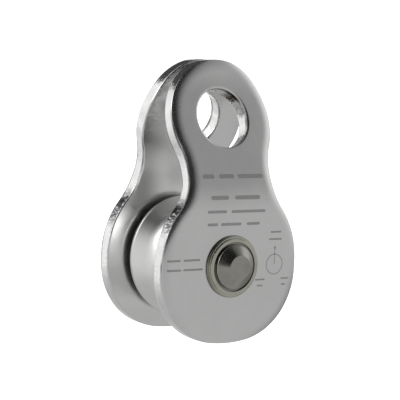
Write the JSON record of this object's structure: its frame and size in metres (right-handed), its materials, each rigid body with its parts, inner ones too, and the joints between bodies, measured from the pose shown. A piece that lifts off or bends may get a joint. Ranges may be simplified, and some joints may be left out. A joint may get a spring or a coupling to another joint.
{
  "type": "single sheave block",
  "caption": "Small steel single sheave block: two pear-shaped cheeks that lean together to their eyes swing on an axle, beside a deep-grooved sheave on ball bearings.",
  "frame": {"origin": "middle of the sheave, on the axle's axis", "axes": "+Y along the axle from the front cheek to the rear cheek, +Z from the axle towards the eyes, +X to the right when the front cheek is faced"},
  "size_m": [0.0406, 0.0352, 0.0693],
  "materials": {
    "cheek_steel": "polished stainless steel",
    "sheave_steel": "turned and polished stainless steel",
    "pin_steel": "turned stainless steel, slightly warm",
    "bearing_steel": "ground bearing steel",
    "pressed_steel": "pressed sheet steel",
    "spring_steel": "blackened spring steel",
    "bronze": "oiled bronze"
  },
  "bodies": {
    "front_cheek": {"front_cheek": "cheek_steel", "front_pivot_bush": "bronze"},
    "axle": {"axle_pin": "pin_steel", "front_collar": "pin_steel", "rear_collar": "pin_steel", "front_side_spacer": "bearing_steel", "rear_side_spacer": "bearing_steel", "bearing_spacer": "bearing_steel", "front_bearing_inner_ring": "bearing_steel", "rear_bearing_inner_ring": "bearing_steel"},
    "rear_cheek": {"rear_cheek": "cheek_steel", "rear_pivot_bush": "bronze"},
    "sheave": {"sheave": "sheave_steel", "front_bearing_outer_ring": "bearing_steel", "front_outer_shield": "pressed_steel", "front_inner_shield": "pressed_steel", "front_retaining_ring": "spring_steel", "rear_bearing_outer_ring": "bearing_steel", "rear_outer_shield": "pressed_steel", "rear_inner_shield": "pressed_steel", "rear_retaining_ring": "spring_steel"},
    "front_cage": {"front_bearing_balls": "bearing_steel", "front_cage_outer_half": "pressed_steel", "front_cage_inner_half": "pressed_steel"},
    "rear_cage": {"rear_bearing_balls": "bearing_steel", "rear_cage_outer_half": "pressed_steel", "rear_cage_inner_half": "pressed_steel"}
  },
  "joints": [
    {"name": "axle_turn", "type": "hinge", "parent": "front_cheek", "child": "axle", "pos_m": [0, 0, 0], "axis": [0, 1, 0], "continuous": true},
    {"name": "rear_cheek_swing", "type": "hinge", "parent": "axle", "child": "rear_cheek", "pos_m": [0, 0, 0], "axis": [0, 1, 0], "continuous": true},
    {"name": "sheave_spin", "type": "hinge", "parent": "axle", "child": "sheave", "pos_m": [0, 0, 0], "axis": [0, 1, 0], "continuous": true},
    {"name": "front_cage_spin", "type": "hinge", "parent": "axle", "child": "front_cage", "pos_m": [0, 0, 0], "axis": [0, 1, 0], "continuous": true},
    {"name": "rear_cage_spin", "type": "hinge", "parent": "axle", "child": "rear_cage", "pos_m": [0, 0, 0], "axis": [0, 1, 0], "continuous": true}
  ],
  "couplings": [
    {"joint": "front_cage_spin", "follows": "sheave_spin", "ratio": 0.61111},
    {"joint": "rear_cage_spin", "follows": "sheave_spin", "ratio": 0.61111}
  ]
}
